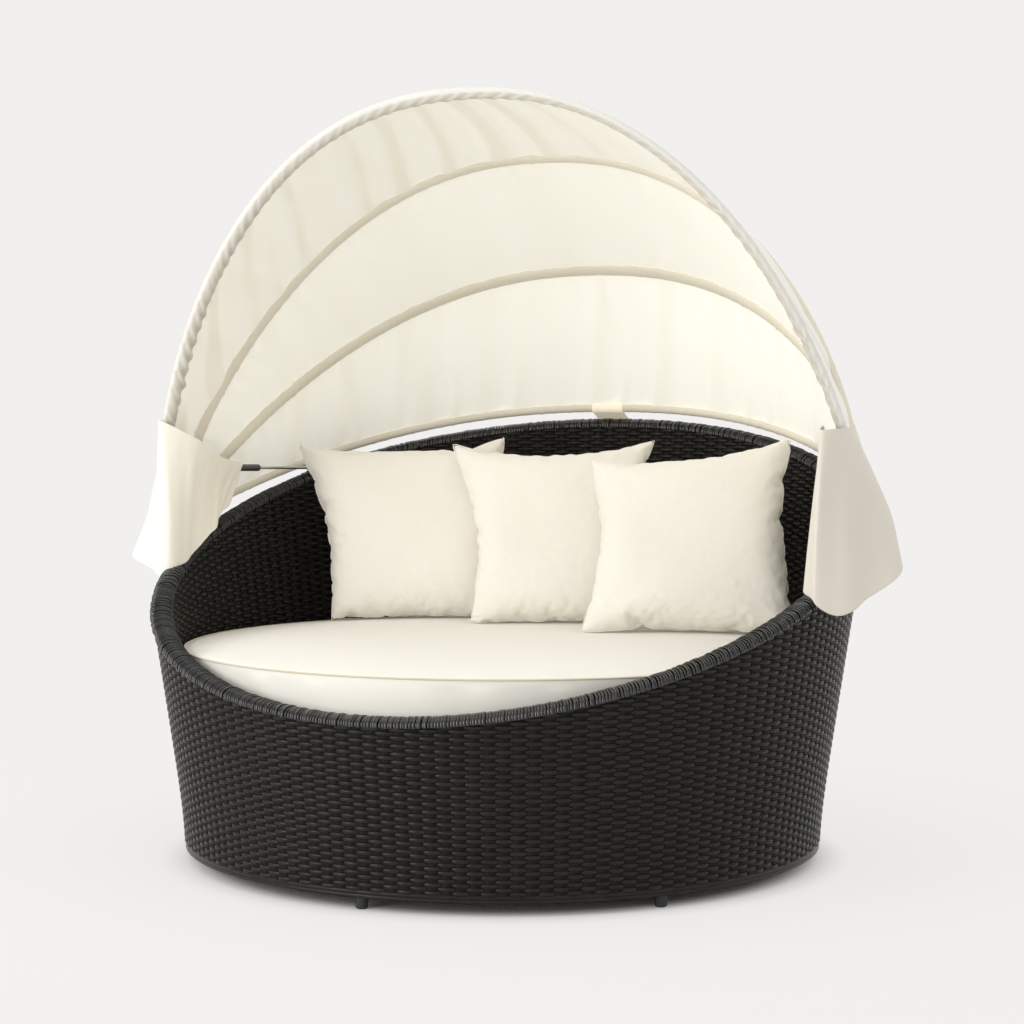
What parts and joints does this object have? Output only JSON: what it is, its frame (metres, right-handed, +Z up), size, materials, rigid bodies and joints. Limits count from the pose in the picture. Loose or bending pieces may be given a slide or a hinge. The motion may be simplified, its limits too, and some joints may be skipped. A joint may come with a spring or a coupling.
{
  "type": "outdoor daybed with canopy",
  "caption": "Round wicker patio daybed with a deep seat cushion, throw pillows and a folding cloth canopy on hinged bows.",
  "frame": {"origin": "middle of the round base at floor level, on the underside of the centre glide", "axes": "+Z up; the open front of the seat faces -Y; +X to the right of someone who looks at the front"},
  "size_m": [1.9726, 1.7636, 1.8373],
  "materials": {
    "frame": "satin",
    "glide": "matte",
    "deck": "matte",
    "wicker": "satin",
    "bow": "satin",
    "canopy_cloth": "matte",
    "bracket": "satin",
    "steel": "satin",
    "strut_black": "gloss",
    "cushion_cloth": "matte",
    "pillow_cloth": "matte"
  },
  "bodies": {
    "base": {"base_ring": "frame", "seat_ring": "frame", "rim_tube": "frame", "upright_1": "frame", "upright_2": "frame", "upright_3": "frame", "upright_4": "frame", "upright_5": "frame", "upright_6": "frame", "upright_7": "frame", "upright_8": "frame", "upright_9": "frame", "upright_10": "frame", "upright_11": "frame", "upright_12": "frame", "cross_beam_front": "frame", "cross_beam_middle": "frame", "cross_beam_rear": "frame", "centre_leg": "frame", "glide_1": "glide", "glide_2": "glide", "glide_3": "glide", "glide_4": "glide", "glide_5": "glide", "glide_6": "glide", "centre_glide": "glide", "seat_deck": "deck", "outer_wicker_skin": "wicker", "inner_wicker_skin": "wicker", "rim_wrap": "wicker", "rear_bow": "bow", "rear_canopy_panel": "canopy_cloth", "side_flap_left": "canopy_cloth", "side_flap_right": "canopy_cloth", "rear_strap": "canopy_cloth", "hinge_bracket_left": "bracket", "hinge_bracket_right": "bracket", "strut_rim_foot_left": "bracket", "strut_rim_foot_right": "bracket", "pivot_bolt_left": "steel", "pivot_bolt_right": "steel", "pivot_nut_left": "steel", "pivot_nut_right": "steel"},
    "third_bow": {"third_bow": "bow", "middle_canopy_panel": "canopy_cloth"},
    "second_bow": {"second_bow": "bow", "front_canopy_panel": "canopy_cloth"},
    "front_bow": {"front_bow": "bow", "strut_stud_left": "steel", "strut_stud_right": "steel"},
    "strut_rod_left": {"strut_rod_left": "steel"},
    "strut_body_left": {"strut_body_left": "strut_black"},
    "strut_rod_right": {"strut_rod_right": "steel"},
    "strut_body_right": {"strut_body_right": "strut_black"},
    "seat_cushion": {"seat_cushion": "cushion_cloth"},
    "pillow_left": {"pillow_left": "pillow_cloth"},
    "pillow_middle": {"pillow_middle": "pillow_cloth"},
    "pillow_right": {"pillow_right": "pillow_cloth"}
  },
  "joints": [
    {"name": "canopy_fold", "type": "hinge", "parent": "base", "child": "third_bow", "pos_m": [0, -0.057, 0.744], "axis": [-1, 0, 0], "range_deg": [0, 18], "deforming": ["rear_canopy_panel", "side_flap_left", "side_flap_right"]},
    {"name": "second_bow_fold", "type": "hinge", "parent": "third_bow", "child": "second_bow", "pos_m": [0, -0.057, 0.744], "axis": [-1, 0, 0], "range_deg": [0, 22.1], "deforming": ["middle_canopy_panel"]},
    {"name": "front_bow_fold", "type": "hinge", "parent": "second_bow", "child": "front_bow", "pos_m": [0, -0.057, 0.744], "axis": [-1, 0, 0], "range_deg": [0, 25.9], "deforming": ["front_canopy_panel"]},
    {"name": "strut_swing_left", "type": "hinge", "parent": "base", "child": "strut_rod_left", "pos_m": [-0.74174, 0.45811, 0.92805], "axis": [0.8629, -0.1877, -0.4692], "range_deg": [0, 13.35]},
    {"name": "strut_slide_left", "type": "slide", "parent": "strut_rod_left", "child": "strut_body_left", "axis": [0.2013, 0.9793, -0.0215], "range_m": [0, 0.18968]},
    {"name": "strut_swing_right", "type": "hinge", "parent": "base", "child": "strut_rod_right", "pos_m": [0.74174, 0.45811, 0.92805], "axis": [0.8629, 0.1877, 0.4692], "range_deg": [0, 13.35]},
    {"name": "strut_slide_right", "type": "slide", "parent": "strut_rod_right", "child": "strut_body_right", "axis": [-0.2013, 0.9793, -0.0215], "range_m": [0, 0.18968]},
    {"name": "cushion_lift", "type": "slide", "parent": "base", "child": "seat_cushion", "axis": [0, 0, 1], "range_m": [0, 0.08]},
    {"name": "pillow_left_lift", "type": "slide", "parent": "seat_cushion", "child": "pillow_left", "axis": [0, 0, 1], "range_m": [0, 0.07]},
    {"name": "pillow_middle_lift", "type": "slide", "parent": "seat_cushion", "child": "pillow_middle", "axis": [0, 0, 1], "range_m": [0, 0.15]},
    {"name": "pillow_right_lift", "type": "slide", "parent": "seat_cushion", "child": "pillow_right", "axis": [0, 0, 1], "range_m": [0, 0.15]}
  ],
  "couplings": [
    {"joint": "second_bow_fold", "follows": "canopy_fold", "ratio": 1.2278},
    {"joint": "front_bow_fold", "follows": "canopy_fold", "ratio": 1.4389},
    {"joint": "strut_swing_left", "follows": "canopy_fold", "ratio": 0.74139},
    {"joint": "strut_slide_left", "follows": "canopy_fold", "m_per_rad": 0.60374},
    {"joint": "strut_swing_right", "follows": "canopy_fold", "ratio": 0.74139},
    {"joint": "strut_slide_right", "follows": "canopy_fold", "m_per_rad": 0.60374}
  ]
}
